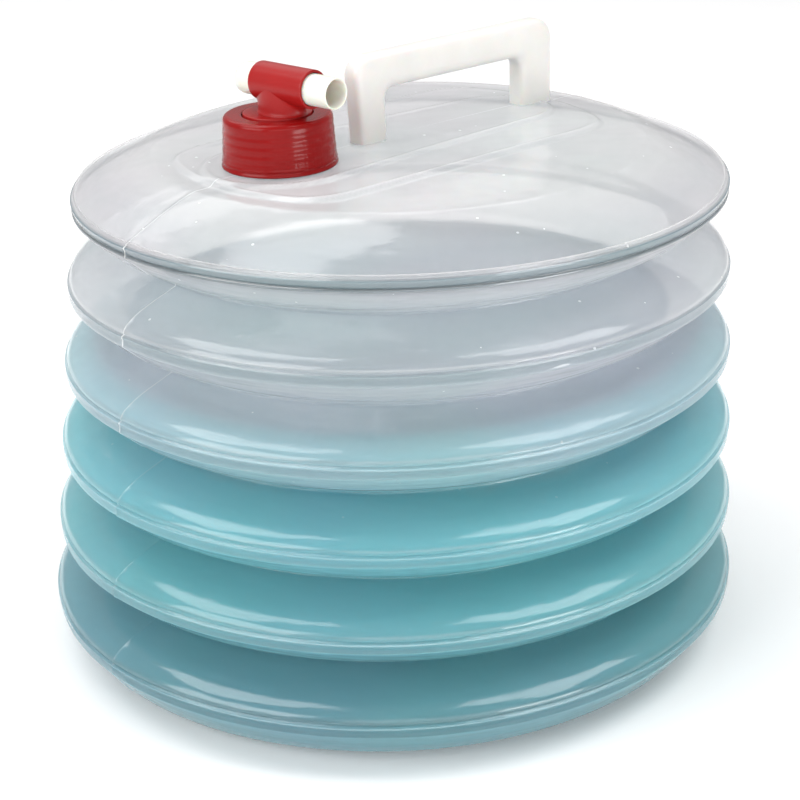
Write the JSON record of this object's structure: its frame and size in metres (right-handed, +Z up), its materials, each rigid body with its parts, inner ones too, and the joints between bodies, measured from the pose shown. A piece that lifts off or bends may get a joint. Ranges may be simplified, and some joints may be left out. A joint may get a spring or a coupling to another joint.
{
  "type": "collapsible water carrier",
  "caption": "Round bellows-walled water container that folds flat, with an arched carry handle and a screw cap holding a swivelling tap.",
  "frame": {"origin": "centre of the standing foot, on the floor", "axes": "+Z up along the base's axis; +X and +Y level; the spout points between +X and -Y and the handle runs between +X and +Y"},
  "size_m": [0.2948, 0.2948, 0.2497],
  "materials": {
    "clear_shell": "translucent, slightly milky",
    "white_handle": "milky white, satin",
    "red_plastic": "satin gloss",
    "ivory_plastic": "milky, satin",
    "black_rubber": "matt"
  },
  "bodies": {
    "base": {"base_panel": "clear_shell", "bellows_wall": "clear_shell"},
    "top": {"top_panel": "clear_shell", "carry_handle": "white_handle"},
    "washer": {"neck_washer": "black_rubber"},
    "cap": {"ring_cap": "red_plastic"},
    "tap": {"tap_body": "red_plastic"},
    "spindle": {"valve_spindle": "ivory_plastic", "spout_seal": "black_rubber", "knob_seal": "black_rubber"}
  },
  "joints": [
    {"name": "collapse", "type": "slide", "parent": "base", "child": "top", "axis": [0, 0, -1], "range_m": [0, 0.125], "deforming": ["bellows_wall"]},
    {"name": "cap_lift", "type": "slide", "parent": "top", "child": "washer", "axis": [0, 0, 1], "range_m": [0, 0.0132]},
    {"name": "cap_turn", "type": "hinge", "parent": "washer", "child": "cap", "pos_m": [-0.03786, -0.03857, 0.22], "axis": [0, 0, 1], "range_deg": [0, 1440]},
    {"name": "tap_swivel", "type": "hinge", "parent": "washer", "child": "tap", "pos_m": [-0.03786, -0.03857, 0.2259], "axis": [0, 0, 1], "continuous": true},
    {"name": "valve_turn", "type": "hinge", "parent": "tap", "child": "spindle", "pos_m": [-0.03596, -0.04034, 0.2423], "axis": [0.7314, -0.682, 0], "range_deg": [0, 90]}
  ],
  "couplings": [
    {"joint": "cap_turn", "follows": "cap_lift", "rad_per_m": 1904}
  ]
}
